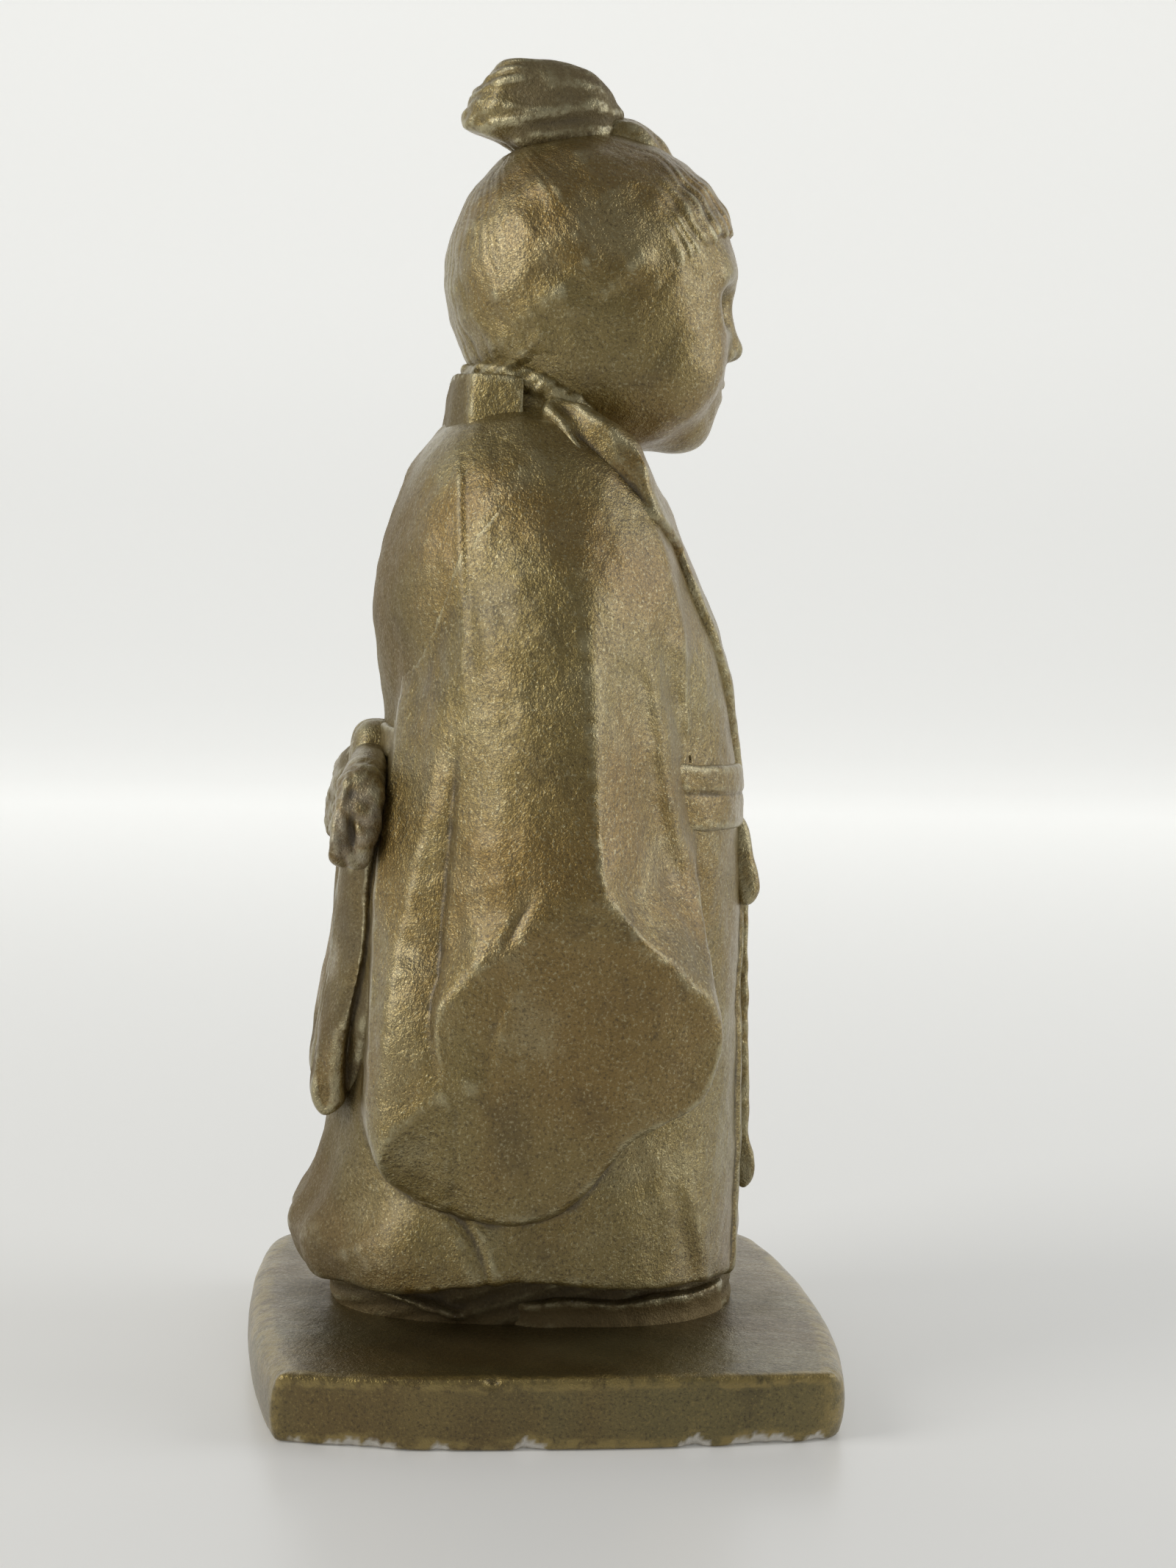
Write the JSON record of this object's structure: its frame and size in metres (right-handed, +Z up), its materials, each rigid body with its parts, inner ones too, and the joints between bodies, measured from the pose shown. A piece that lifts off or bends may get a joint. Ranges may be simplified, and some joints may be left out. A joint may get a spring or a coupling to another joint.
{
  "type": "souvenir figurine",
  "caption": "Cast standing child in a long-sleeved kimono with a bow behind and a topknot, on a low pillow-shaped square plinth, with a metallic bronze-gold finish",
  "frame": {"origin": "middle of the plinth's underside, on the surface it stands on", "axes": "+Z up, along the figure; the figure faces -Y; its right side is -X"},
  "size_m": [0.0844, 0.0798, 0.18],
  "materials": {
    "bronze_paint": "satin",
    "face_bronze_paint": "satin",
    "hair_bronze_paint": "satin",
    "plinth_bronze_paint": "satin"
  },
  "bodies": {
    "root": {"plinth": "plinth_bronze_paint", "under_robe": "bronze_paint", "right_foot": "bronze_paint", "left_foot": "bronze_paint", "robe_skirt": "bronze_paint", "robe_torso": "bronze_paint", "right_sleeve": "bronze_paint", "left_sleeve": "bronze_paint", "obi_band": "bronze_paint", "obi_knot": "bronze_paint", "right_bow_loop": "bronze_paint", "left_bow_loop": "bronze_paint", "right_sash_tail": "bronze_paint", "left_sash_tail": "bronze_paint", "front_sash_fold": "bronze_paint", "front_sash_end": "bronze_paint", "back_collar": "bronze_paint", "right_lapel": "bronze_paint", "left_lapel": "bronze_paint", "under_collar": "bronze_paint", "head": "face_bronze_paint", "hair_cap": "hair_bronze_paint", "forelock": "hair_bronze_paint", "topknot": "hair_bronze_paint"}
  },
  "joints": []
}
